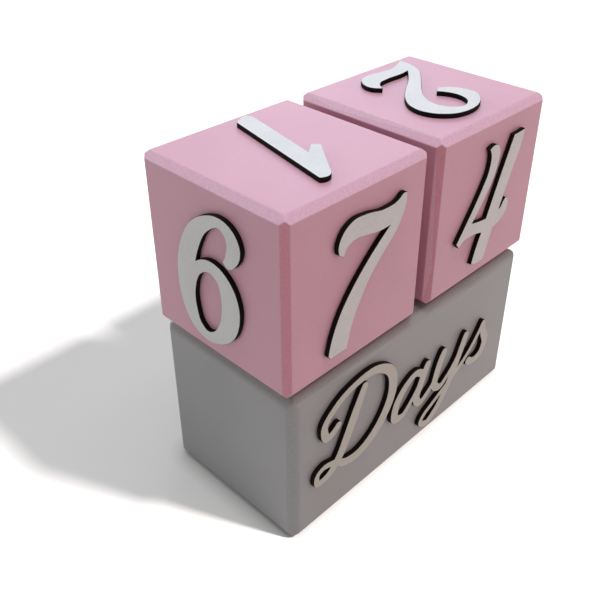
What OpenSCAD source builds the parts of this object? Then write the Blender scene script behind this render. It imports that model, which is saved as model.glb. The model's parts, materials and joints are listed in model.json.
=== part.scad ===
// Cube calendar: two chamfered number cubes that stand loose on a long base block.
// Each cube carries six raised figures, cut from thin board and glued to its faces.
// X runs along the base, Y to the back and Z up. The origin is under the middle of the base.

/* [Base block] */
// Length of the base block
base_l = 162; // [140:1:240]
// Depth of the base block
base_d = 80; // [72:1:120]
// Height of the base block
base_h = 80; // [30:1:140]
// How far the 45 degree chamfer on every edge of the base block cuts into each face
base_chamfer = 3.2; // [0.4:0.1:8]

/* [Cubes] */
// Edge length of each cube
cube_edge = 80; // [74:1:110]
// How far the 45 degree chamfer on every edge of a cube cuts into each face
cube_chamfer = 3; // [0.4:0.1:6]
// Free space between the facing figures of the two cubes
row_clearance = 2.6; // [0.4:0.1:10]

/* [Figures] */
// Height of a figure
figure_h = 60; // [30:1:62]
// Thickness of the board that the figures are cut from, with its paint
figure_t = 2.2; // [1:0.1:6]
// Straight steps along each span of a figure's curves
curve_steps = 5; // [2:1:10]

/* [Hidden] */

base_paint = "#a4a4a4";
cube_paint = "#dda6b9";
figure_paint = "#e0dfde";

// Between the facing sides of the cubes there is room for both of their figures
cube_gap = 2 * figure_t + row_clearance;
// The middle of a cube from the middle of the row, and its height: it stands on its lowest figure
cube_x = (cube_gap + cube_edge) / 2;
cube_z = base_h + figure_t + cube_edge / 2;
left = -1;
right = 1;

// The turn that brings a flat piece, drawn upright, onto each face of a cube with its glued side inward.
// The figure on top reads from behind the row, and the one underneath from the front.
front_face = [90, 0, 0];
back_face = [90, 0, 180];
left_face = [90, 0, -90];
right_face = [90, 0, 90];
top_face = [0, 0, 180];
under_face = [180, 0, 0];

// The figures are drawn this tall, about the middle of the face that carries them.
// An outline is a list of smooth runs, each from one corner of the figure to the next.
// A figure without corners, and the counter inside a figure, is one closed run.
drawn_h = 60;

zero_outline = [[-2, -31], [-11, -28.5], [-17, -20.5], [-18.5, -9], [-16, 5], [-10.5, 17.5], [-2, 27], [8, 30],
                [15.5, 26], [19, 17], [18.5, 4], [15, -10], [8.5, -23]];
zero_counter = [[-3.5, -26], [-8, -22], [-9, -10], [-6, 5], [0, 18], [6, 25], [9, 22], [9.5, 12], [7.5, -2],
                [3, -17]];

one_outline = [
    // left edge of the stem, and the flag
    [[-9.5, -29.5], [-0.5, 11.5]],
    [[-0.5, 11.5], [-6.5, 7]],
    [[-6.5, 7], [-9, 10]],
    [[-9, 10], [6, 29.5]],
    // round head, right edge and foot
    [[6, 29.5], [9, 30.8], [12.3, 29.5]],
    [[12.3, 29.5], [-0.5, -29]],
    [[-0.5, -29], [-4, -31], [-8, -32]],
    [[-8, -32], [-9.5, -29.5]]];

two_outline = [
    // inside of the hook and upper edge of the sweep, down to the tip of the foot
    [[-0.3, 7], [-3.5, 17.5], [-1.5, 22.3], [6.5, 25.6], [10.5, 22.5], [12.6, 17], [8.5, 6.5], [4, 2],
     [-10, -9.3], [-17.5, -16.2], [-21, -23], [-22, -32]],
    // underside of the foot, round its raised end
    [[-22, -32], [-15, -28.3], [-9, -26.8], [-3, -27.4], [6, -28.6], [12, -27], [17.2, -17], [14, -12.4]],
    // upper side of the foot
    [[14, -12.4], [8.5, -18.1], [3, -18.9], [-9, -18.9], [-13, -19.5]],
    // lower edge of the sweep and outside of the hook
    [[-13, -19.5], [-3, -11.3], [9.5, -3.2], [17, 2.7], [21.7, 8.5], [23.6, 16], [21.5, 22.7], [15.5, 28.4],
     [7, 30.3], [-1, 29], [-8, 25], [-12, 20.5], [-10, 9], [-4.5, 4.3]],
    // end of the hook
    [[-4.5, 4.3], [-0.3, 7]]];

three_outline = [
    // outside of the upper bowl, from the end of its hook
    [[-7, 11], [-11, 13.5], [-13, 18.5], [-9.5, 24.5], [-2, 29], [7, 30.3], [15.5, 27.7], [20, 21],
     [18.5, 13], [13, 7], [7.5, 4]],
    // outside of the lower bowl, round to the end of its hook
    [[7.5, 4], [14.5, 0.5], [18.3, -7], [17.5, -15.5], [12.5, -24], [4.5, -29.5], [-5, -31.2],
     [-13.5, -28.5], [-18.5, -22.5], [-18, -16.5], [-14, -13.5], [-9.5, -15.5]],
    // inside of the lower bowl
    [[-9.5, -15.5], [-10.5, -20], [-8, -24.7], [-2.5, -25.8], [3.5, -21.5], [7.7, -13.5], [8, -6],
     [4.5, -0.8], [-4, 0.5]],
    // end of the middle bar
    [[-4, 0.5], [-3, 4.7]],
    // inside of the upper bowl
    [[-3, 4.7], [4, 6.2], [9.5, 12], [11.3, 19], [9, 24.2], [4, 25.7], [-1.5, 23], [-4.3, 18], [-4.2, 13.5],
     [-7, 11]]];

four_outline = [
    // left edge of the stem, below the bar
    [[-10.8, -29], [-8, -20], [-5.5, -14.2]],
    // underside and left end of the bar
    [[-5.5, -14.2], [-12, -12.7], [-21, -13.5], [-22.7, -15.2]],
    [[-22.7, -15.2], [-25.2, -12.3]],
    // left and right edges of the slanted arm
    [[-25.2, -12.3], [-17.5, -2], [-9.5, 9.8], [-6, 16.5], [-6, 25.5], [-7.3, 27.4]],
    [[-7.3, 27.4], [-0.5, 27.5], [1.4, 24.5], [1, 18], [-1.8, 10.7], [-7, 3.2], [-14.3, -5.8]],
    // top of the bar, and the stem above it
    [[-14.3, -5.8], [-9, -6.9], [-3, -7.7]],
    [[-3, -7.7], [4.2, 10.5], [11.8, 28.6]],
    [[11.8, 28.6], [16, 28.7], [20.5, 29]],
    [[20.5, 29], [19, 22], [13.8, 9.6], [10, 0.5], [7.2, -6.6]],
    // curl at the right end of the bar
    [[7.2, -6.6], [8.5, -6.2], [10.3, -3.8], [12, -2.4]],
    [[12, -2.4], [14.3, -4], [14.8, -7.5], [9, -14], [4.2, -14.9]],
    // right edge and foot of the stem
    [[4.2, -14.9], [2, -21.5], [-0.7, -29.8]],
    [[-0.7, -29.8], [-6, -30.2], [-10.8, -29]]];

five_outline = [
    // left edge of the stem
    [[-6.5, 29], [-8.5, 17], [-11.5, 3.5]],
    // inside of the bowl, to the end of its hook
    [[-11.5, 3.5], [-6.5, 4.3], [-1, 6], [4, 4.5], [7.8, -1], [8.8, -8], [6.8, -16.5], [2.5, -23],
     [-3, -25.9], [-7.5, -24.7], [-9.7, -20], [-9.5, -15.5]],
    // outside of the bowl
    [[-9.5, -15.5], [-14, -13.5], [-18, -16.5], [-18.5, -22.5], [-13.5, -28.5], [-5, -31.2], [4.5, -29.5],
     [12.5, -23.5], [17.7, -14], [18.5, -4], [15.5, 5], [9, 10.7], [2, 11.5], [-4, 9.5]],
    // right edge of the stem, underside and top of the flag
    [[-4, 9.5], [-2.8, 15], [-1.2, 20.5]],
    [[-1.2, 20.5], [6, 20], [13, 20], [18, 21.5], [20.5, 25.5], [21.5, 31.5]],
    [[21.5, 31.5], [18, 29.3], [12, 28.2], [2, 28.6], [-6.5, 29]]];

six_outline = [
    // from the corner between hook and bowl, round the whole figure and back to it
    [[-6.8, 5], [-4, 12.5], [1.6, 21.2], [9, 24.9], [11.5, 22.8], [11, 14.5], [9.7, 11.5], [11.5, 9.7],
     [18.5, 15], [19.7, 20.3], [17.7, 25.3], [13, 28.8], [7, 29.5], [0, 27.4], [-9, 21], [-14.5, 12.5],
     [-18.4, 0.5], [-19, -9], [-16.8, -20.5], [-11, -28.6], [-3, -31.2], [5.5, -28.8], [13, -22.7],
     [17, -14], [17.4, -5], [13.7, 3], [7.5, 7.6], [1.5, 8.5], [-6.8, 5]]];
six_counter = [[-8.5, -10], [-3, 1.3], [1.5, 2.9], [5, 1], [7, -5], [7, -11.5], [4.5, -20], [1, -24.7],
               [-2.8, -26.2], [-6, -24.2], [-8.2, -18]];

seven_outline = [
    // top of the bar, from its drooping end to its raised tip
    [[-15, 16.3], [-15.6, 19.3], [-13.3, 24.6], [-8, 28], [0, 27.9], [10, 26], [18.5, 27.1], [20.5, 28.5],
     [23.2, 28.2]],
    // right edge of the stem
    [[23.2, 28.2], [22.7, 22.3], [19, 15], [9.9, 5.8], [3.3, -1.2], [-2, -9.5], [-6, -17.5], [-8.2, -25],
     [-9.2, -29.2]],
    // foot
    [[-9.2, -29.2], [-18.5, -29.2]],
    [[-18.5, -29.2], [-19.8, -27.5]],
    // left edge of the stem, then the underside and the end of the bar
    [[-19.8, -27.5], [-18, -20], [-14, -11], [-8, -2.5], [0, 6], [8.8, 13.7], [13.7, 17.4]],
    [[13.7, 17.4], [7, 17.4], [0, 18.7], [-6.5, 19.5], [-10.3, 18.2], [-12.4, 14.5]],
    [[-12.4, 14.5], [-15, 16.3]]];

eight_outline = [
    // lower bowl, then upper bowl
    [[-11.5, 3.5], [-16.5, -2.5], [-18.8, -11], [-17, -21], [-11, -28.6], [-3, -31.2], [5.5, -29.2],
     [12.7, -23.5], [16.8, -15], [17, -6.5], [13.5, 1], [9, 4.5]],
    [[9, 4.5], [15.5, 9.5], [19.2, 17], [17.8, 25], [11.5, 29.6], [4, 30.1], [-4, 27.3], [-10, 20.5],
     [-12.3, 12], [-11.5, 3.5]]];
eight_lower_counter = [[-9, -13], [-7.5, -5.5], [1.5, 0.2], [5, -2], [6.9, -8], [6.2, -15.5], [3, -22.5],
                       [-2.5, -26], [-7, -22.5]];
eight_upper_counter = [[-3.7, 12], [-2.2, 18.5], [2.5, 24], [7, 25.8], [10.3, 23], [8, 11], [3, 6.6],
                       [-1.5, 6.8]];

// Direction of a chord, and of the curve at a point between two chords, where the shorter chord counts more
function chord_slope(p, i) = (p[i + 1] - p[i]) / norm(p[i + 1] - p[i]);
function blend_slope(p, i) =
    let (before = norm(p[i] - p[i - 1]), after = norm(p[i + 1] - p[i]))
    (chord_slope(p, i - 1) * after + chord_slope(p, i) * before) / (before + after);

// Direction of the curve at any point of an open run. It goes on bending at the run's two ends.
function run_slope(p, i) =
    let (last = len(p) - 1)
    last == 1 ? chord_slope(p, 0)
    : i == 0 ? 2 * chord_slope(p, 0) - blend_slope(p, 1)
    : i == last ? 2 * chord_slope(p, last - 1) - blend_slope(p, last - 1)
    : blend_slope(p, i);

// The point at t, from 0 to 1, on the cubic curve from a to b that leaves and arrives in the given directions
function cubic_point(a, b, leave, arrive, t) =
    let (reach = norm(b - a) / 3, u = 1 - t, c = a + reach * leave, d = b - reach * arrive)
    u * u * u * a + 3 * u * u * t * c + 3 * u * t * t * d + t * t * t * b;

// Points along the runs, each without its last point. A run of two points is straight and needs no steps.
function outline_points(runs) = [
    for (p = runs, i = [0 : len(p) - 2])
        let (steps = len(p) == 2 ? 1 : curve_steps)
        for (s = [0 : steps - 1])
            cubic_point(p[i], p[i + 1], run_slope(p, i), run_slope(p, i + 1), s / steps)];

// Points along a closed run, which is smooth all round because its ends are drawn past each other
function closed_points(run) =
    let (n = len(run), p = [run[n - 1], each run, run[0], run[1]])
    [for (i = [1 : n], s = [0 : curve_steps - 1])
        cubic_point(p[i], p[i + 1], blend_slope(p, i), blend_slope(p, i + 1), s / curve_steps)];

// A figure as it is cut from the board, lying flat with its glued side down
module figure(outline, counters = []) {
    size = figure_h / drawn_h;
    color(figure_paint)
        linear_extrude(figure_t)
            difference() {
                polygon(size * outline);
                for (counter = counters) polygon(size * closed_points(counter));
            }
}

module zero() { figure(closed_points(zero_outline), [zero_counter]); }
module one() { figure(outline_points(one_outline)); }
module two() { figure(outline_points(two_outline)); }
module three() { figure(outline_points(three_outline)); }
module four() { figure(outline_points(four_outline)); }
module five() { figure(outline_points(five_outline)); }
module six() { figure(outline_points(six_outline), [six_counter]); }
module seven() { figure(outline_points(seven_outline)); }
module eight() { figure(outline_points(eight_outline), [eight_lower_counter, eight_upper_counter]); }

// A rectangle with its corners cut at 45 degrees
module cut_rectangle(w, h, cut) {
    x = w / 2;
    y = h / 2;
    polygon([[x - cut, -y], [x, cut - y], [x, y - cut], [x - cut, y],
             [cut - x, y], [-x, y - cut], [-x, cut - y], [cut - x, -y]]);
}

// A block about its own middle with every edge chamfered, so that three chamfers meet at each corner
module chamfered_block(l, d, h, chamfer) {
    intersection() {
        linear_extrude(h, center = true) cut_rectangle(l, d, chamfer);
        rotate([90, 0, 0]) linear_extrude(d, center = true) cut_rectangle(l, h, chamfer);
        rotate([90, 0, 90]) linear_extrude(l, center = true) cut_rectangle(d, h, chamfer);
    }
}

module at_cube(side) {
    translate([side * cube_x, 0, cube_z]) children();
}

module on_face(side, face) {
    at_cube(side) rotate(face) translate([0, 0, cube_edge / 2]) children();
}

module number_cube(side) {
    color(cube_paint) at_cube(side) chamfered_block(cube_edge, cube_edge, cube_edge, cube_chamfer);
}

module base_block() {
    color(base_paint) translate([0, 0, base_h / 2]) chamfered_block(base_l, base_d, base_h, base_chamfer);
}

module left_cube() { number_cube(left); }
module left_figure_7() { on_face(left, front_face) seven(); }
module left_figure_6() { on_face(left, left_face) six(); }
module left_figure_1() { on_face(left, top_face) one(); }
module left_figure_2() { on_face(left, back_face) two(); }
module left_figure_0() { on_face(left, right_face) zero(); }
module left_figure_8() { on_face(left, under_face) eight(); }

module right_cube() { number_cube(right); }
module right_figure_4() { on_face(right, front_face) four(); }
module right_figure_2() { on_face(right, top_face) two(); }
module right_figure_3() { on_face(right, right_face) three(); }
module right_figure_1() { on_face(right, back_face) one(); }
module right_figure_5() { on_face(right, left_face) five(); }
module right_figure_0() { on_face(right, under_face) zero(); }

base_block();
left_cube();
left_figure_7();
left_figure_6();
left_figure_1();
left_figure_2();
left_figure_0();
left_figure_8();
right_cube();
right_figure_4();
right_figure_2();
right_figure_3();
right_figure_1();
right_figure_5();
right_figure_0();
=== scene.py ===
"""Looks of a wooden cube calendar: painted blocks, charred figures, a raised word and a stage.

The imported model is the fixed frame. Its blocks and figures keep their shapes, and get soft arrises and
finishes. The raised word on the front of the base is made here. Lengths are in metres unless a name ends
in _mm.
"""

import json
import math

import bpy
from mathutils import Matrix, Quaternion, Vector
from mathutils.geometry import convex_hull_2d, delaunay_2d_cdt, interpolate_bezier


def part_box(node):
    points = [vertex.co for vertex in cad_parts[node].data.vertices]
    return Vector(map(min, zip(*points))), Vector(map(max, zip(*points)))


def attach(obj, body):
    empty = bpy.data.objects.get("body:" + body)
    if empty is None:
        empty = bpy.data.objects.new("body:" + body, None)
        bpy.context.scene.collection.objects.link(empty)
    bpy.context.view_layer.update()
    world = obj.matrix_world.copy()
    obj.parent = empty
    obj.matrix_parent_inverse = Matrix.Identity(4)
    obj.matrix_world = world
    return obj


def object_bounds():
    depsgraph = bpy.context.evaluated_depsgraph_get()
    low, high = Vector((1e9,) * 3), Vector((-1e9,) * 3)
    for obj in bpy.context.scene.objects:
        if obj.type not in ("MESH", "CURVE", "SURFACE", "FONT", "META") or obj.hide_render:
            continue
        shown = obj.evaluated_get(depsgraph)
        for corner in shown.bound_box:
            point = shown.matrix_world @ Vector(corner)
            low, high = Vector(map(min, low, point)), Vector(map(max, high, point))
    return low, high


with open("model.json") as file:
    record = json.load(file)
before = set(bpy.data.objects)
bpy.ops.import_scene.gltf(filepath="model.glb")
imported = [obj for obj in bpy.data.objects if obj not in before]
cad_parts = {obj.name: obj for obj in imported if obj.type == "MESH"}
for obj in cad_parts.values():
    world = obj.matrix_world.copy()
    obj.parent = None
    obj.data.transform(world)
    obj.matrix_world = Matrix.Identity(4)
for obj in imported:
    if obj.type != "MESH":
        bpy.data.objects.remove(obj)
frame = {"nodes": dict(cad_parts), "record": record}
CAD_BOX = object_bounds()

bl_info = {
    "name": "Cube Calendar Looks",
    "version": (1, 0, 0),
    "blender": (4, 5, 0),
    "location": "View3D > Sidebar > Cube Calendar",
    "description": "Finishes a packed cube calendar and sets it on a pale floor in soft light",
    "category": "Object",
}

MM = 0.001
BODIES = frame["record"]["behaviour"]["bodies"]
CUBES = {"left_number": "left_cube", "right_number": "right_cube"}
BASE_BODY = "base"
BASE_NODE = "base_block"

# The board that figures and word are cut from is as thick as a figure stands proud of its cube
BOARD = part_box("left_cube")[0].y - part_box("left_figure_7")[0].y


def linear(hex_colour):
    """Linear colour of an sRGB colour that is written as #RRGGBB."""
    shares = [int(hex_colour[i:i + 2], 16) / 255 for i in (1, 3, 5)]
    return tuple(s / 12.92 if s <= 0.04045 else ((s + 0.055) / 1.055) ** 2.4 for s in shares)


# Settings

class BlockSettings(bpy.types.PropertyGroup):
    """Paint and edges of the base block and the number cubes."""

    cube_colour: bpy.props.FloatVectorProperty(
        name="Cube paint", description="Colour of the paint on the number cubes",
        subtype="COLOR", size=3, min=0, max=1, default=linear("#D7A0B1"))
    # Upright chamfers are painted darker and deeper than the faces: painted shade
    cube_shaded: bpy.props.FloatVectorProperty(
        name="Cube chamfers", description="Colour of the soaked-in paint on the cubes' upright chamfers",
        subtype="COLOR", size=3, min=0, max=1, default=linear("#D58D9E"))
    # Chamfers that look up are painted paler than the faces: painted light from above
    cube_painted_light: bpy.props.FloatVectorProperty(
        name="Cube painted light", description="Colour of the painted light on the cubes' chamfers that look up",
        subtype="COLOR", size=3, min=0, max=1, default=linear("#E3B4C8"))
    base_colour: bpy.props.FloatVectorProperty(
        name="Base paint", description="Colour of the paint on the base block",
        subtype="COLOR", size=3, min=0, max=1, default=linear("#9D9B9C"))
    cube_arris: bpy.props.FloatProperty(
        name="Cube arris", description="How far the edges beside the cubes' chamfers are softened",
        unit="LENGTH", min=0, max=1.5 * MM, default=0.3 * MM)
    base_arris: bpy.props.FloatProperty(
        name="Base arris", description="How far the edges beside the base's chamfers are softened",
        unit="LENGTH", min=0, max=2 * MM, default=1.6 * MM)


class BoardSettings(bpy.types.PropertyGroup):
    """Finish of everything that is cut from thin board."""

    figure_colour: bpy.props.FloatVectorProperty(
        name="Figure paint", description="Colour of the paint on the faces of the figures",
        subtype="COLOR", size=3, min=0, max=1, default=linear("#E4E1E1"))
    word_colour: bpy.props.FloatVectorProperty(
        name="Word paint", description="Colour of the paint on the face of the raised word",
        subtype="COLOR", size=3, min=0, max=1, default=linear("#CDC8BE"))
    arris: bpy.props.FloatProperty(
        name="Cut arris", description="Width of the toasted line between a painted face and its cut edge",
        unit="LENGTH", min=0, max=0.5 * MM, default=0.15 * MM)


class WordSettings(bpy.types.PropertyGroup):
    """Place and slant of the raised word on the front of the base."""

    margin: bpy.props.FloatProperty(
        name="Left margin", description="From the left end of the base to the upright start of the word",
        unit="LENGTH", min=0, max=40 * MM, default=16 * MM)
    baseline: bpy.props.FloatProperty(
        name="Baseline", description="Height of the line that the letters stand on above the base's foot",
        unit="LENGTH", min=20 * MM, max=40 * MM, default=27 * MM)
    slant: bpy.props.FloatProperty(
        name="Slant", description="How far the letters lean to the right over their height",
        subtype="FACTOR", min=0, max=0.6, default=0.3)


class StageSettings(bpy.types.PropertyGroup):
    """Camera, floor and light."""

    azimuth: bpy.props.FloatProperty(
        name="Azimuth", description="Camera's angle round the calendar, from straight in front",
        subtype="ANGLE", default=math.radians(-46.58))
    elevation: bpy.props.FloatProperty(
        name="Elevation", description="Camera's angle above the horizon",
        subtype="ANGLE", default=math.radians(32.23))
    roll: bpy.props.FloatProperty(
        name="Roll", description="Camera's turn about its own line of sight",
        subtype="ANGLE", default=math.radians(0.54))
    aim: bpy.props.FloatVectorProperty(
        name="Aim", description="Point on the camera's line of sight, level with the foot of the cubes",
        subtype="TRANSLATION", size=3, default=(-1.0 * MM, 23.1 * MM, 82.2 * MM))
    distance: bpy.props.FloatProperty(
        name="Distance", description="From the camera to that point",
        unit="LENGTH", min=0.1, default=386.5 * MM)
    lens: bpy.props.FloatProperty(
        name="Lens", description="Focal length of the camera on a 36 mm sensor",
        unit="CAMERA", min=10, default=47.41)
    shift: bpy.props.FloatVectorProperty(
        name="Shift", description="How far the picture's frame lies off the line of sight, in frame widths",
        size=2, default=(-0.0288, -0.0667))
    light_level: bpy.props.FloatProperty(
        name="Light level", description="Factor on the light of all softboxes",
        subtype="FACTOR", min=0, max=4, default=1.0)
    floor_colour: bpy.props.FloatVectorProperty(
        name="Floor", description="Colour of the floor as the camera sees it",
        subtype="COLOR", size=3, min=0, max=1, default=linear("#837F7D"))


class CalendarSettings(bpy.types.PropertyGroup):
    """All settings of the cube calendar."""

    blocks: bpy.props.PointerProperty(type=BlockSettings)
    board: bpy.props.PointerProperty(type=BoardSettings)
    word: bpy.props.PointerProperty(type=WordSettings)
    stage: bpy.props.PointerProperty(type=StageSettings)


# Materials

# Sockets of a Mix node that mixes colours: its two colours and its result
MIX_A, MIX_B, MIXED = 6, 7, 2
# Nearly all values of a noise lie between these
NOISE_LOW, NOISE_HIGH = 0.3, 0.7


def add_node(tree, kind, inputs=None, **settings):
    """Adds a node. Each input takes a plain value, or another node's output, which is linked to it."""
    node = tree.nodes.new(kind)
    for name, value in settings.items():
        setattr(node, name, value)
    for name, value in (inputs or {}).items():
        if isinstance(value, bpy.types.NodeSocket):
            tree.links.new(value, node.inputs[name])
        else:
            node.inputs[name].default_value = value
    return node


def start_material(name):
    """An empty node material."""
    material = bpy.data.materials.new(name)
    material.use_nodes = True
    material.node_tree.nodes.clear()
    return material


def looking(tree):
    """A node output that is 1 for the camera and what it sees mirrored or through something, and else 0."""
    rays = add_node(tree, "ShaderNodeLightPath").outputs
    mirrored = add_node(tree, "ShaderNodeMath", {
        0: rays["Is Glossy Ray"], 1: rays["Is Transmission Ray"]}, operation="MAXIMUM")
    return add_node(tree, "ShaderNodeMath", {
        0: rays["Is Camera Ray"], 1: mirrored.outputs[0]}, operation="MAXIMUM").outputs[0]


def shade(colour, share):
    """An opaque colour that is this share as bright."""
    return (*[share * c for c in colour], 1)


def sprayed_mdf(name, colour, shaded, painted_light, arris_highlight):
    """Spray-painted MDF: a matt, even coat with a fine spray grain, rougher and speckled on the chamfers.

    Sanded faces take the paint evenly. A chamfer is milled through the board's loose core and keeps a
    coarse nap. The upright chamfers are painted darker and deeper than the faces, which is painted shade,
    and the chamfers that look up paler, which is painted light from above. Along the arrises the paint is
    paled towards white, a painted highlight, by the share that the last argument gives.
    """
    # The spray grain is about 0.2 mm on the real coat, and is drawn coarser so that it shows
    grain_mm, nap_mm, cloud_mm = 0.7, 0.9, 38
    grain_height_mm, nap_height_mm = 0.020, 0.060
    material = start_material(name)
    tree = material.node_tree
    place = add_node(tree, "ShaderNodeTexCoord")
    spot = place.outputs["Object"]
    grain = add_node(tree, "ShaderNodeTexNoise", {
        "Vector": spot, "Scale": 1 / (grain_mm * MM), "Detail": 2.0})
    nap = add_node(tree, "ShaderNodeTexNoise", {
        "Vector": spot, "Scale": 1 / (nap_mm * MM), "Detail": 3.0})
    cloud = add_node(tree, "ShaderNodeTexNoise", {
        "Vector": spot, "Scale": 1 / (cloud_mm * MM), "Detail": 2.0})

    # A face looks along one axis, a chamfer along two, and an arris lies between them
    facing = add_node(tree, "ShaderNodeVectorMath", {0: place.outputs["Normal"]}, operation="ABSOLUTE")
    axes = add_node(tree, "ShaderNodeSeparateXYZ", {"Vector": facing.outputs["Vector"]})
    wider = add_node(tree, "ShaderNodeMath", {
        0: axes.outputs["X"], 1: axes.outputs["Y"]}, operation="MAXIMUM")
    widest = add_node(tree, "ShaderNodeMath", {
        0: wider.outputs[0], 1: axes.outputs["Z"]}, operation="MAXIMUM")
    chamfer = add_node(tree, "ShaderNodeMapRange", {
        "Value": widest.outputs[0], "From Min": 0.95, "From Max": 0.72, "To Min": 0.0, "To Max": 1.0})
    arris = add_node(tree, "ShaderNodeMath", {0: chamfer.outputs[0], 1: 0.5, 2: 0.45}, operation="COMPARE")
    turned = add_node(tree, "ShaderNodeSeparateXYZ", {"Vector": place.outputs["Normal"]})
    # The more a chamfer looks up, the more it takes the paler colour: painted light from above
    painted_light_share = add_node(tree, "ShaderNodeMapRange", {
        "Value": turned.outputs["Z"], "From Min": 0.2, "From Max": 0.7, "To Min": 0.0, "To Max": 1.0})

    mottle = add_node(tree, "ShaderNodeMapRange", {
        "Value": cloud.outputs["Fac"], "From Min": NOISE_LOW, "From Max": NOISE_HIGH,
        "To Min": 0.0, "To Max": 1.0})
    even = add_node(tree, "ShaderNodeMix", {
        "Factor": mottle.outputs[0], MIX_A: shade(colour, 0.97), MIX_B: shade(colour, 1.03)},
        data_type="RGBA")
    # Upright chamfers take the darker colour, which is painted shade, and upward ones the paler, painted
    # light
    chamfer_shade_and_light = add_node(tree, "ShaderNodeMix", {
        "Factor": painted_light_share.outputs[0], MIX_A: (*shaded, 1), MIX_B: (*painted_light, 1)}, data_type="RGBA")
    sprayed = add_node(tree, "ShaderNodeMix", {
        "Factor": chamfer.outputs[0], MIX_A: even.outputs[MIXED], MIX_B: chamfer_shade_and_light.outputs[MIXED]},
        data_type="RGBA")
    # The arrises are paled towards white: a painted highlight
    pale = add_node(tree, "ShaderNodeMath", {0: arris.outputs[0], 1: arris_highlight}, operation="MULTIPLY")
    coat = add_node(tree, "ShaderNodeMix", {
        "Factor": pale.outputs[0], MIX_A: sprayed.outputs[MIXED], MIX_B: (1, 1, 1, 1)}, data_type="RGBA")
    speck = add_node(tree, "ShaderNodeMapRange", {
        "Value": nap.outputs["Fac"], "From Min": NOISE_LOW, "From Max": NOISE_HIGH,
        "To Min": 0.90, "To Max": 1.10})
    spread = add_node(tree, "ShaderNodeMapRange", {
        "Value": chamfer.outputs[0], "From Min": 0.0, "From Max": 1.0, "To Min": 0.2, "To Max": 0.8})
    speckled = add_node(tree, "ShaderNodeMix", {
        "Factor": spread.outputs[0], MIX_A: coat.outputs[MIXED], MIX_B: speck.outputs[0]},
        data_type="RGBA", blend_type="MULTIPLY")

    sheen = add_node(tree, "ShaderNodeMapRange", {
        "Value": grain.outputs["Fac"], "From Min": NOISE_LOW, "From Max": NOISE_HIGH,
        "To Min": 0.42, "To Max": 0.54})
    rough_nap = add_node(tree, "ShaderNodeMath", {
        0: nap.outputs["Fac"], 1: chamfer.outputs[0]}, operation="MULTIPLY")
    relief = add_node(tree, "ShaderNodeMath", {
        0: rough_nap.outputs[0], 1: nap_height_mm / grain_height_mm, 2: grain.outputs["Fac"]},
        operation="MULTIPLY_ADD")
    bump = add_node(tree, "ShaderNodeBump", {
        "Height": relief.outputs[0], "Strength": 1.0, "Distance": grain_height_mm * MM})
    shader = add_node(tree, "ShaderNodeBsdfPrincipled", {
        "Base Color": speckled.outputs[MIXED], "Roughness": sheen.outputs[0], "IOR": 1.5,
        "Normal": bump.outputs[0]})
    add_node(tree, "ShaderNodeOutputMaterial", {"Surface": shader.outputs["BSDF"]})
    return material


def rolled_paint(name, colour):
    """Water-based paint rolled on thin MDF before cutting: a flat, dull white with a faint stipple."""
    # The roller's stipple is about 0.4 mm on the real coat, and is drawn coarser so that it shows
    stipple_mm, stain_mm, stipple_height_mm = 0.8, 14, 0.014
    material = start_material(name)
    tree = material.node_tree
    spot = add_node(tree, "ShaderNodeTexCoord").outputs["Object"]
    stipple = add_node(tree, "ShaderNodeTexNoise", {
        "Vector": spot, "Scale": 1 / (stipple_mm * MM), "Detail": 2.0})
    stain = add_node(tree, "ShaderNodeTexNoise", {
        "Vector": spot, "Scale": 1 / (stain_mm * MM), "Detail": 3.0})
    patch = add_node(tree, "ShaderNodeMapRange", {
        "Value": stain.outputs["Fac"], "From Min": NOISE_LOW, "From Max": NOISE_HIGH,
        "To Min": 0.0, "To Max": 1.0})
    coat = add_node(tree, "ShaderNodeMix", {
        "Factor": patch.outputs[0], MIX_A: shade(colour, 0.96), MIX_B: shade(colour, 1.03)},
        data_type="RGBA")
    fleck = add_node(tree, "ShaderNodeMapRange", {
        "Value": stipple.outputs["Fac"], "From Min": NOISE_LOW, "From Max": NOISE_HIGH,
        "To Min": 0.95, "To Max": 1.05})
    stippled = add_node(tree, "ShaderNodeMix", {
        "Factor": 1.0, MIX_A: coat.outputs[MIXED], MIX_B: fleck.outputs[0]},
        data_type="RGBA", blend_type="MULTIPLY")
    sheen = add_node(tree, "ShaderNodeMapRange", {
        "Value": stipple.outputs["Fac"], "From Min": NOISE_LOW, "From Max": NOISE_HIGH,
        "To Min": 0.40, "To Max": 0.52})
    bump = add_node(tree, "ShaderNodeBump", {
        "Height": stipple.outputs["Fac"], "Strength": 1.0, "Distance": stipple_height_mm * MM})
    shader = add_node(tree, "ShaderNodeBsdfPrincipled", {
        "Base Color": stippled.outputs[MIXED], "Roughness": sheen.outputs[0], "IOR": 1.5,
        "Specular IOR Level": 0.1, "Normal": bump.outputs[0]})
    add_node(tree, "ShaderNodeOutputMaterial", {"Surface": shader.outputs["BSDF"]})
    return material


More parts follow.
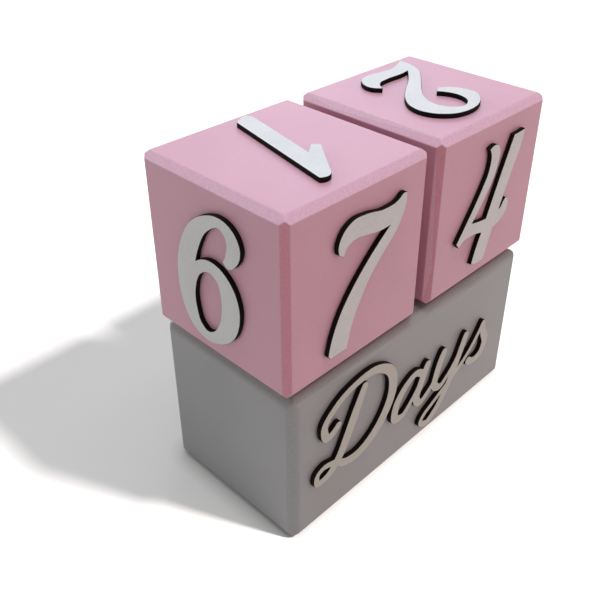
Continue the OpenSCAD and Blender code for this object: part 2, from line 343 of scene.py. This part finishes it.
def charred_mdf(name, darkest, palest, axis):
    """Laser-charred MDF: dull soot, with the beam's striations straight through the board along an axis."""
    # The beam leaves a line every 0.15 mm or so, and the lines are drawn wider so that they show
    line_mm, through_mm, line_height_mm = 0.5, 12, 0.03
    material = start_material(name)
    tree = material.node_tree
    spot = add_node(tree, "ShaderNodeTexCoord").outputs["Object"]
    finest = [1 / (line_mm * MM)] * 3
    finest[axis] = 1 / (through_mm * MM)
    along = add_node(tree, "ShaderNodeMapping", {"Vector": spot, "Scale": finest})
    lines = add_node(tree, "ShaderNodeTexNoise", {"Vector": along.outputs[0], "Scale": 1.0, "Detail": 2.0})
    soot = add_node(tree, "ShaderNodeMapRange", {
        "Value": lines.outputs["Fac"], "From Min": 0.3, "From Max": 0.75, "To Min": 0.0, "To Max": 1.0})
    burnt = add_node(tree, "ShaderNodeMix", {
        "Factor": soot.outputs[0], MIX_A: (*darkest, 1), MIX_B: (*palest, 1)}, data_type="RGBA")
    bump = add_node(tree, "ShaderNodeBump", {
        "Height": lines.outputs["Fac"], "Strength": 1.0, "Distance": line_height_mm * MM})
    shader = add_node(tree, "ShaderNodeBsdfPrincipled", {
        "Base Color": burnt.outputs[MIXED], "Roughness": 0.9, "IOR": 1.45, "Specular IOR Level": 0.15,
        "Normal": bump.outputs[0]})
    add_node(tree, "ShaderNodeOutputMaterial", {"Surface": shader.outputs["BSDF"]})
    return material


def opal_acrylic(name, seen, bounced, shown, thrown):
    """Matt opal acrylic, lit from below: an even pale sheet that a shadow only greys.

    It glows more for whoever looks at it than it throws on the object. Its glow is dimmed beside what
    stands on it by ambient occlusion, a painted contact shadow.
    """
    contact_mm = 9
    material = start_material(name)
    tree = material.node_tree
    looked_at = looking(tree)
    sheet = add_node(tree, "ShaderNodeMix", {
        "Factor": looked_at, MIX_A: (*bounced, 1), MIX_B: (*seen, 1)}, data_type="RGBA")
    shader = add_node(tree, "ShaderNodeBsdfDiffuse", {"Color": sheet.outputs[MIXED]})
    glow = add_node(tree, "ShaderNodeMapRange", {"Value": looked_at, "To Min": thrown, "To Max": shown})
    # The glow is dimmed where things stand close by: a painted contact shadow on the floor
    clear = add_node(tree, "ShaderNodeAmbientOcclusion", {"Distance": contact_mm * MM})
    strength = add_node(tree, "ShaderNodeMath", {
        0: glow.outputs[0], 1: clear.outputs["AO"]}, operation="MULTIPLY")
    light = add_node(tree, "ShaderNodeEmission", {"Strength": strength.outputs[0]})
    both = add_node(tree, "ShaderNodeAddShader", {0: shader.outputs[0], 1: light.outputs[0]})
    add_node(tree, "ShaderNodeOutputMaterial", {"Surface": both.outputs[0]})
    return material


# Blocks and cut boards

# Corners this close are one, and edges that turn more than this are sharp
SAME_CORNER = 0.001 * MM
SHARP_TURN = math.radians(35)
# Places of a cut board's materials on its object
PAINT_SLOT, EDGE_SLOT, ARRIS_SLOT = range(3)
# How squarely a face of a cut board looks outward if it is painted, and if it is more than a cut edge
FACE_ON = 0.95
FACE_ASLANT = 0.2


def soften(obj, width, segments, arris_slot=-1):
    """Joins the split corners of a mesh and rounds its sharp edges by at most a width."""
    obj.modifiers.clear()
    weld = obj.modifiers.new("Joined corners", "WELD")
    weld.merge_threshold = SAME_CORNER
    bevel = obj.modifiers.new("Soft arris", "BEVEL")
    bevel.width = width
    bevel.segments = segments
    bevel.limit_method = "ANGLE"
    bevel.angle_limit = SHARP_TURN
    bevel.harden_normals = True
    bevel.material = arris_slot


def dress(obj, *materials):
    """Gives an object these materials and no others."""
    obj.data.materials.clear()
    for material in materials:
        obj.data.materials.append(material)


def burnt_finish(kind, darkest, palest, axis):
    """A burnt finish for boards that are cut through along an axis, made once for each axis."""
    name = f"{kind} {'XYZ'[axis]}"
    return bpy.data.materials.get(name) or charred_mdf(name, linear(darkest), linear(palest), axis)


def dress_cut_board(obj, outward, paint):
    """Paints the outward face of a piece cut from board, chars its edges and toasts what lies between."""
    axis = max(range(3), key=lambda i: abs(outward[i]))
    edge = burnt_finish("Laser-charred MDF edge", "#060202", "#140A07", axis)
    arris = burnt_finish("Laser-toasted MDF arris", "#21150E", "#4C3A2D", axis)
    dress(obj, paint, edge, arris)
    for polygon in obj.data.polygons:
        facing = polygon.normal.dot(outward)
        if facing > FACE_ON:
            polygon.material_index = PAINT_SLOT
        elif facing > FACE_ASLANT:
            polygon.material_index = ARRIS_SLOT
        else:
            polygon.material_index = EDGE_SLOT


class CALENDAR_OT_paint_base(bpy.types.Operator):
    """Paint the base block and round its edges"""

    bl_idname = "calendar.paint_base"
    bl_label = "Paint Base Block"

    def execute(self, context):
        settings = context.scene.calendar.blocks
        block = frame["nodes"][BASE_NODE]
        colour = settings.base_colour
        dress(block, sprayed_mdf("Spray-painted MDF grey", colour, shaded=colour, painted_light=colour, arris_highlight=0.0))
        soften(block, settings.base_arris, segments=4)
        return {"FINISHED"}


class CALENDAR_OT_paint_cubes(bpy.types.Operator):
    """Paint the two number cubes and soften their edges"""

    bl_idname = "calendar.paint_cubes"
    bl_label = "Paint Number Cubes"

    def execute(self, context):
        settings = context.scene.calendar.blocks
        # The cubes' chamfers carry painted shade and painted light, and their arrises a painted highlight
        paint = sprayed_mdf(
            "Spray-painted MDF pink", settings.cube_colour, settings.cube_shaded, settings.cube_painted_light,
            arris_highlight=0.1)
        for name in CUBES.values():
            cube = frame["nodes"][name]
            dress(cube, paint)
            soften(cube, settings.cube_arris, segments=3)
        return {"FINISHED"}


class CALENDAR_OT_finish_figures(bpy.types.Operator):
    """Paint the faces of the twelve figures and char their cut edges"""

    bl_idname = "calendar.finish_figures"
    bl_label = "Finish Figures"

    def execute(self, context):
        settings = context.scene.calendar.board
        paint = rolled_paint("Rolled white paint on MDF", settings.figure_colour)
        for body, cube in CUBES.items():
            middle = sum(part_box(cube), Vector()) / 2
            for name in BODIES[body]:
                if name == cube:
                    continue
                away = sum(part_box(name), Vector()) / 2 - middle
                axis = max(range(3), key=lambda i: abs(away[i]))
                outward = Vector([math.copysign(1, away[i]) if i == axis else 0 for i in range(3)])
                figure = frame["nodes"][name]
                dress_cut_board(figure, outward, paint)
                soften(figure, settings.arris, segments=1, arris_slot=ARRIS_SLOT)
        return {"FINISHED"}


# Raised word

# Pen strokes of each letter, upright, as (across, up, pen width) in millimetres from the letter's start
LETTERS_MM = {
    "D": [
        # stem, and the small loop at its foot
        [(13.5, 38.5, 4.6), (12, 30, 5.8), (10, 18, 6), (7.4, 8, 5.6), (2.2, 1.9, 4.4), (-4.2, 2, 3.6),
         (-5.6, 6.2, 3.2), (-1.6, 8.6, 3.2)],
        # from the loop along the baseline, round the bowl and back to the hook at the upper left
        [(-1.6, 8.6, 3.2), (5.4, 6.6, 3.6), (12.5, 2.5, 4.4), (20.5, 1, 5.2), (29.5, 4.2, 6),
         (36, 12.6, 6.4), (37.6, 24, 6.4), (32, 36, 5.6), (20, 43, 4.6), (6, 43.3, 4), (-4.6, 38.6, 4),
         (-9, 31, 4.4), (-5.4, 24.6, 4.4), (0.6, 27.4, 4)],
    ],
    "a": [
        # bowl
        [(17.5, 19.5, 4.2), (12, 22.6, 4.2), (5, 19.5, 5), (1.2, 11, 5.6), (3.4, 3.6, 5), (8.6, 2, 4),
         (13.6, 6.6, 3.4), (17.6, 15, 3.2)],
        # stem and the join to the next letter
        [(20, 23, 5), (18.6, 13, 5.6), (18.8, 5.2, 5.2), (22.8, 1.6, 4.2), (28, 4.7, 3.4), (33, 11.5, 3.2)],
    ],
    "y": [
        # cup
        [(1.5, 22.8, 5), (0.5, 13, 5.6), (2, 4.7, 5), (7, 1.8, 4), (12.5, 5.7, 3.4), (17.5, 14, 3.2)],
        # stem down to the turn of the tail
        [(19.5, 23, 5), (18, 10, 5.6), (15, -3, 5.6), (10, -12.4, 5), (3.2, -16.2, 4), (-1.8, -13.2, 3.4),
         (0.6, -8.4, 3.2)],
        # tail back up to the next letter
        [(0.6, -8.4, 3.2), (9.6, -3.2, 3.2), (20, 2.8, 3.2), (28, 10, 3.2)],
    ],
    "s": [
        # rising join
        [(-4, 6, 3.2), (2, 13.5, 3.2), (6.5, 22.5, 3.8)],
        # bow
        [(6.5, 22.5, 3.8), (9.4, 16.6, 5), (13.9, 10.4, 5.6), (13.6, 4, 5), (7.6, 1.6, 4.4), (2, 4, 4.8)],
    ],
}
# Where each letter of the word starts along the baseline
WORD_MM = (("D", 0), ("a", 44), ("y", 75.5), ("s", 104))
# Steps from knot to knot of a stroke, and round the half circle at its end
STROKE_STEPS = 8
CAP_STEPS = 8
# The word's outline keeps no point that turns it less than this, or that is this close to a sharper one
LEAST_TURN = math.radians(2)
LEAST_STEP_MM = 0.35
# Points of the word's strokes this close are one
SAME_POINT_MM = 1e-4


def pen_line(points, start, slant):
    """Points along a smooth pen stroke as vectors of across, up and width, moved to its letter's start."""
    knots = [Vector((start + across + slant * up, up, width)) for across, up, width in points]
    chords = [there - here for here, there in zip(knots, knots[1:])]
    # Each inner knot is passed along its two chords' directions, the shorter chord counting more
    passing = [
        (into * out.xy.length / into.xy.length + out * into.xy.length / out.xy.length)
        / (into.xy.length + out.xy.length) for into, out in zip(chords, chords[1:])]
    first = 2 * chords[0] / chords[0].xy.length - passing[0]
    last = 2 * chords[-1] / chords[-1].xy.length - passing[-1]
    slopes = [first, *passing, last]
    line = []
    for i, chord in enumerate(chords):
        reach = chord.xy.length / 3
        leave = knots[i] + reach * slopes[i]
        arrive = knots[i + 1] - reach * slopes[i + 1]
        line += interpolate_bezier(knots[i], leave, arrive, knots[i + 1], STROKE_STEPS + 1)[:-1]
    return [*line, knots[-1]]


def pen_patches(line):
    """Convex patches that cover a pen stroke: one for each step along it and a round one at each end."""
    right, left = [], []
    for i, point in enumerate(line):
        ahead = line[min(i + 1, len(line) - 1)] - line[max(i - 1, 0)]
        aside = Vector((-ahead.y, ahead.x)).normalized() * point.z / 2
        right.append(point.xy - aside)
        left.append(point.xy + aside)
    patches = []
    for i in range(len(line) - 1):
        corners = [right[i], right[i + 1], left[i + 1], left[i]]
        patches.append([corners[k] for k in convex_hull_2d(corners)])
    for edge, middle in ((right[-1], line[-1].xy), (left[0], line[0].xy)):
        turns = [Quaternion((0, 0, 1), math.pi * step / CAP_STEPS) for step in range(CAP_STEPS + 1)]
        patches.append([middle + (turn @ (edge - middle).to_3d()).xy for turn in turns])
    return patches


def triangulate(points, faces):
    """Triangles over flat faces that may overlap: their points, corners, given points and given faces."""
    triangles_inside = 1
    found, _, triangles, sources, _, owners = delaunay_2d_cdt(
        points, [], faces, triangles_inside, SAME_POINT_MM)
    return found, triangles, sources, owners


def sides_of(faces):
    """Every side of every face, in the direction in which its face has it."""
    return [(face[i - 1], face[i]) for face in faces for i in range(len(face))]


def joined_outlines(patches):
    """Outlines of the one flat shape that overlapping patches cover, with the shape to the left of each."""
    points, faces = [], []
    for patch in patches:
        faces.append(list(range(len(points), len(points) + len(patch))))
        points += patch
    points, triangles, _, owners = triangulate(points, faces)
    sides = sides_of([triangle for triangle, owner in zip(triangles, owners) if owner])
    inner = set(sides)
    rim = [(here, there) for here, there in sides if (there, here) not in inner]
    onward = dict(rim)
    if len(onward) < len(rim):
        raise RuntimeError("Two outlines of the raised word touch")
    loops = []
    while onward:
        loop = []
        here = next(iter(onward))
        while here in onward:
            loop.append(points[here])
            here = onward.pop(here)
        loops.append(loop)
    return loops


def with_neighbours(loop):
    """Each point of a closed line between the one before and the one after it."""
    return list(zip(loop[-1:] + loop[:-1], loop, loop[1:] + loop[:1]))


def plain_outline(loop):
    """A closed line without the points that hardly turn it or that crowd a sharper one."""
    while True:
        ring = with_neighbours(loop)
        turns = [(here - before).angle(after - here) for before, here, after in ring]
        spare = [
            i for i, (before, here, after) in enumerate(ring)
            if turns[i] < LEAST_TURN
            or ((here - before).length < LEAST_STEP_MM and turns[i] <= turns[i - 1])
            or ((after - here).length < LEAST_STEP_MM and turns[i] <= turns[(i + 1) % len(loop)])]
        if not spare:
            return loop
        flattest = min(spare, key=lambda i: turns[i])
        loop = loop[:flattest] + loop[flattest + 1:]


def inset(loop, width):
    """A closed line moved to its left by a width, with the mitres of its sharpest corners cut short."""
    least_opening = 0.3
    moved = []
    for before, here, after in with_neighbours(loop):
        into = (here - before).normalized()
        out = (after - here).normalized()
        aside = Vector((-into.y - out.y, into.x + out.x))
        moved.append(here + aside * width / max(1 + into.dot(out), least_opening))
    return moved


def fill(loops):
    """Triangles between outlines and the counters in them, as places in the list of all their points."""
    points, faces = [], []
    for loop in loops:
        places = list(range(len(points), len(points) + len(loop)))
        counter = sum(here.cross(after) for _, here, after in with_neighbours(loop)) < 0
        faces.append(places[::-1] if counter else places)
        points += loop
    found, triangles, sources, owners = triangulate(points, faces)
    if len(found) != len(points):
        raise RuntimeError("The raised word's outlines cross")
    # A triangle in a counter belongs to the counter and to the outline round it
    solid = [triangle for triangle, owner in zip(triangles, owners) if len(owner) == 1]
    return [[sources[k][0] for k in triangle] for triangle in solid]


def cut_board(loops, thickness, arris):
    """A board cut along outlines, with a chamfer round its front: points across, up and out, and faces."""
    fronts = [inset(loop, arris) for loop in loops]
    layers = ((loops, 0), (loops, thickness - arris), (fronts, thickness))
    points = [Vector((*p, out)) for lines, out in layers for loop in lines for p in loop]
    count = len(points) // len(layers)
    faces = [triangle[::-1] for triangle in fill(loops)]
    faces += [[2 * count + k for k in triangle] for triangle in fill(fronts)]
    start = 0
    for loop in loops:
        for i in range(len(loop)):
            here, there = start + i, start + (i + 1) % len(loop)
            faces.append([here, there, there + count, here + count])
            faces.append([here + count, there + count, there + 2 * count, here + 2 * count])
        start += len(loop)
    sides = sides_of(faces)
    if len(set(sides)) != len(sides) or {(b, a) for a, b in sides} != set(sides):
        raise RuntimeError("The raised word isn't one closed board")
    return points, faces


class CALENDAR_OT_raise_word(bpy.types.Operator):
    """Cut the word from board and glue it to the front of the base"""

    bl_idname = "calendar.raise_word"
    bl_label = "Raise Word"

    def execute(self, context):
        settings = context.scene.calendar
        word = settings.word
        patches = []
        for letter, start in WORD_MM:
            for stroke in LETTERS_MM[letter]:
                patches += pen_patches(pen_line(stroke, start, word.slant))
        loops = [plain_outline(loop) for loop in joined_outlines(patches)]
        points, faces = cut_board(loops, BOARD / MM, settings.board.arris / MM)
        low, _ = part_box(BASE_NODE)
        corner = Vector((low.x + word.margin, low.y, low.z + word.baseline))
        mesh = bpy.data.meshes.new("raised_word")
        places = [corner + Vector((across, -out, up)) * MM for across, up, out in points]
        mesh.from_pydata(places, [], faces)
        obj = bpy.data.objects.new("raised_word", mesh)
        context.scene.collection.objects.link(obj)
        paint = rolled_paint("Rolled cream paint on MDF", settings.board.word_colour)
        dress_cut_board(obj, Vector((0, -1, 0)), paint)
        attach(obj, BASE_BODY)
        return {"FINISHED"}


# Stage

FLOOR_SIZE = 12
# Colour of the floor for the light that it sends back to the calendar
FLOOR_BOUNCE = linear("#434343")
# Strength of the floor's glow as it is seen, and as it falls on the calendar
FLOOR_SHOWN = 0.3
FLOOR_THROWN = 0.25
# Even light from all round
AMBIENT = linear("#625C5C")
SENSOR_MM = 36
# Each softbox: where it stands, from straight in front and above the horizon, and its light
SOFTBOXES = (
    {"name": "Overhead softbox", "azimuth": 0, "elevation": 88, "distance": 1.3, "size": 0.8, "watts": 11.3,
     "colour": "#F0FBFF"},
    {"name": "Right softbox", "azimuth": 25, "elevation": 15, "distance": 1.3, "size": 0.8, "watts": 4.45,
     "colour": "#FFE0D7"},
    {"name": "Left softbox", "azimuth": -100, "elevation": 11, "distance": 1.3, "size": 0.6, "watts": 2.2,
     "colour": "#F6FFFA"},
    {"name": "Back softbox", "azimuth": 133, "elevation": 34, "distance": 1.3, "size": 0.6, "watts": 3.4,
     "colour": "#D6E4FF"},
    {"name": "Rear softbox", "azimuth": 178, "elevation": 16, "distance": 1.3, "size": 0.7, "watts": 6.2,
     "colour": "#F3FBFF"},
)
# The key lamp lights the floor alone, so that the shadow falls long and clear to the left of the calendar
KEY = {"name": "Floor key lamp", "azimuth": 26, "elevation": 51, "angle": 5, "strength": 13.6}
MIDDLE = (CAD_BOX[0] + CAD_BOX[1]) / 2


def direction(azimuth, elevation):
    """Direction from the calendar to what stands at these angles, azimuth 0 being straight in front."""
    level = math.cos(elevation)
    return Vector((math.sin(azimuth) * level, -math.cos(azimuth) * level, math.sin(elevation)))


class CALENDAR_OT_set_stage(bpy.types.Operator):
    """Make the floor, the lamps, the pale surroundings and the camera"""

    bl_idname = "calendar.set_stage"
    bl_label = "Set Stage"

    def execute(self, context):
        scene = context.scene
        stage = scene.calendar.stage
        scene.view_settings.view_transform = "Standard"
        floor = self.lay_floor(scene, stage)
        self.hang_softboxes(scene, stage)
        self.hang_key(scene, floor)
        self.fill_surroundings(scene)
        self.set_camera(scene, stage)
        return {"FINISHED"}

    @staticmethod
    def lay_floor(scene, stage):
        """A level sheet under the calendar."""
        half = FLOOR_SIZE / 2
        mesh = bpy.data.meshes.new("floor")
        corners = [(-half, -half, 0), (half, -half, 0), (half, half, 0), (-half, half, 0)]
        mesh.from_pydata(corners, [], [(0, 1, 2, 3)])
        floor = bpy.data.objects.new("floor", mesh)
        scene.collection.objects.link(floor)
        sheet = opal_acrylic(
            "Matt opal acrylic lit from below", stage.floor_colour, FLOOR_BOUNCE, FLOOR_SHOWN, FLOOR_THROWN)
        dress(floor, sheet)
        return floor

    @staticmethod
    def hang_softboxes(scene, stage):
        """Square softboxes that all face the calendar."""
        for box in SOFTBOXES:
            lamp = bpy.data.lights.new(box["name"], "AREA")
            lamp.size = box["size"]
            lamp.energy = box["watts"] * stage.light_level
            lamp.color = linear(box["colour"])
            holder = bpy.data.objects.new(box["name"], lamp)
            scene.collection.objects.link(holder)
            back = direction(math.radians(box["azimuth"]), math.radians(box["elevation"]))
            holder.location = MIDDLE + back * box["distance"]
            holder.rotation_euler = back.to_track_quat("Z", "Y").to_euler()

    @staticmethod
    def hang_key(scene, floor):
        """A distant lamp that only the floor takes light from."""
        lamp = bpy.data.lights.new(KEY["name"], "SUN")
        lamp.angle = math.radians(KEY["angle"])
        lamp.energy = KEY["strength"]
        holder = bpy.data.objects.new(KEY["name"], lamp)
        scene.collection.objects.link(holder)
        back = direction(math.radians(KEY["azimuth"]), math.radians(KEY["elevation"]))
        holder.rotation_euler = back.to_track_quat("Z", "Y").to_euler()
        lit = bpy.data.collections.new("Lit by the floor key lamp")
        lit.objects.link(floor)
        holder.light_linking.receiver_collection = lit

    @staticmethod
    def fill_surroundings(scene):
        """White surroundings for whoever looks at them, and a dim even light from them."""
        world = bpy.data.worlds.new("Pale studio")
        scene.world = world
        world.use_nodes = True
        tree = world.node_tree
        tree.nodes.clear()
        sky = add_node(tree, "ShaderNodeMix", {
            "Factor": looking(tree), MIX_A: (*AMBIENT, 1), MIX_B: (1, 1, 1, 1)}, data_type="RGBA")
        background = add_node(tree, "ShaderNodeBackground", {"Color": sky.outputs[MIXED], "Strength": 1.0})
        add_node(tree, "ShaderNodeOutputWorld", {"Surface": background.outputs[0]})

    @staticmethod
    def set_camera(scene, stage):
        """A camera at the photograph's viewing angle."""
        camera = bpy.data.cameras.new("Camera")
        camera.sensor_width = SENSOR_MM
        camera.lens = stage.lens
        camera.shift_x, camera.shift_y = stage.shift
        camera.clip_start = 10 * MM
        holder = bpy.data.objects.new("Camera", camera)
        scene.collection.objects.link(holder)
        back = direction(stage.azimuth, stage.elevation)
        holder.location = Vector(stage.aim) + back * stage.distance
        holder.rotation_mode = "QUATERNION"
        holder.rotation_quaternion = (-back).to_track_quat("-Z", "Y") @ Quaternion((0, 0, 1), stage.roll)
        scene.camera = holder


class CALENDAR_PT_looks(bpy.types.Panel):
    """Settings of the cube calendar, and the steps that use them."""

    bl_idname = "CALENDAR_PT_looks"
    bl_label = "Cube Calendar"
    bl_space_type = "VIEW_3D"
    bl_region_type = "UI"
    bl_category = "Cube Calendar"

    def draw(self, context):
        settings = context.scene.calendar
        steps = {
            "blocks": (CALENDAR_OT_paint_base, CALENDAR_OT_paint_cubes),
            "board": (CALENDAR_OT_finish_figures,),
            "word": (CALENDAR_OT_raise_word,),
            "stage": (CALENDAR_OT_set_stage,),
        }
        for group, operators in steps.items():
            column = self.layout.box().column()
            values = getattr(settings, group)
            for name in values.__annotations__:
                column.prop(values, name)
            for operator in operators:
                column.operator(operator.bl_idname)


CLASSES = (
    BlockSettings, BoardSettings, WordSettings, StageSettings, CalendarSettings,
    CALENDAR_OT_paint_base, CALENDAR_OT_paint_cubes, CALENDAR_OT_finish_figures, CALENDAR_OT_raise_word,
    CALENDAR_OT_set_stage, CALENDAR_PT_looks,
)


def register():
    for cls in CLASSES:
        bpy.utils.register_class(cls)
    bpy.types.Scene.calendar = bpy.props.PointerProperty(type=CalendarSettings)


def unregister():
    del bpy.types.Scene.calendar
    for cls in reversed(CLASSES):
        bpy.utils.unregister_class(cls)


def main():
    """Runs every step once."""
    register()
    bpy.ops.calendar.set_stage()
    bpy.ops.calendar.paint_base()
    bpy.ops.calendar.paint_cubes()
    bpy.ops.calendar.finish_figures()
    bpy.ops.calendar.raise_word()


if __name__ == "__main__":
    main()
